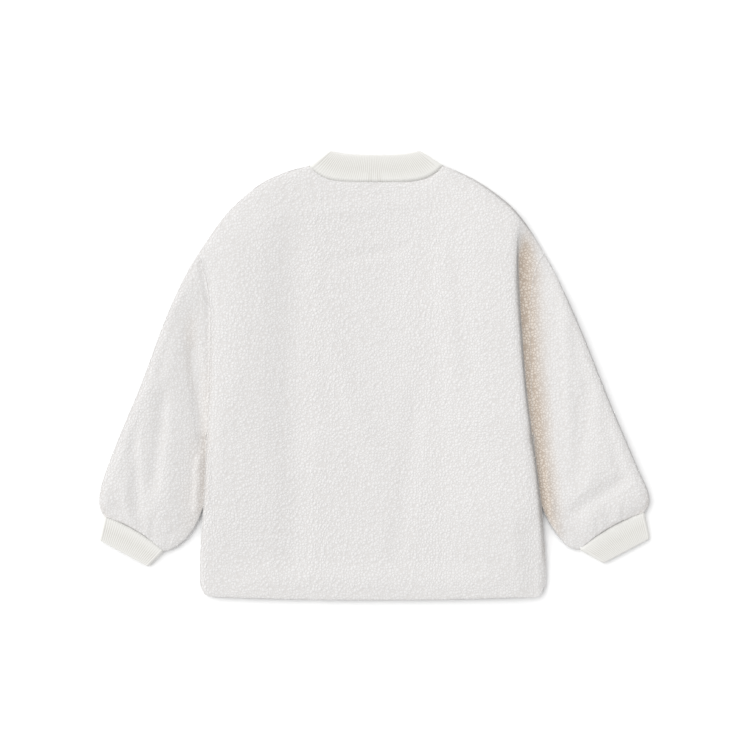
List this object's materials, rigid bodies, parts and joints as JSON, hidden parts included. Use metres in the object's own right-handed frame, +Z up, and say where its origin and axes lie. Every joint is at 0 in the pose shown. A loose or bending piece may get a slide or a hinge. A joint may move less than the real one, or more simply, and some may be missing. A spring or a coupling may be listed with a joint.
{
  "type": "sherpa jacket",
  "caption": "Boxy sherpa fleece jacket with dropped shoulders, a rib-knit band collar and rib-knit cuffs, laid flat on its fronts with the back up.",
  "frame": {"origin": "middle of the jacket's footprint, on the surface it lies on", "axes": "+X across the jacket from the wearer's left sleeve to the right one, +Y from the hem towards the collar, +Z up out of the surface and out of the jacket's back"},
  "size_m": [0.8299, 0.6771, 0.0271],
  "materials": {
    "sherpa": "curled pile, matte",
    "rib_knit": "one-by-one rib knit, matte",
    "stud": "satin"
  },
  "bodies": {
    "root": {"back": "sherpa", "front_left": "sherpa", "front_right": "sherpa", "sleeve_left": "sherpa", "sleeve_right": "sherpa", "cuff_left": "rib_knit", "cuff_right": "rib_knit", "collar": "rib_knit", "stud_1": "stud", "stud_2": "stud", "stud_3": "stud", "stud_4": "stud", "stud_5": "stud"}
  },
  "joints": []
}
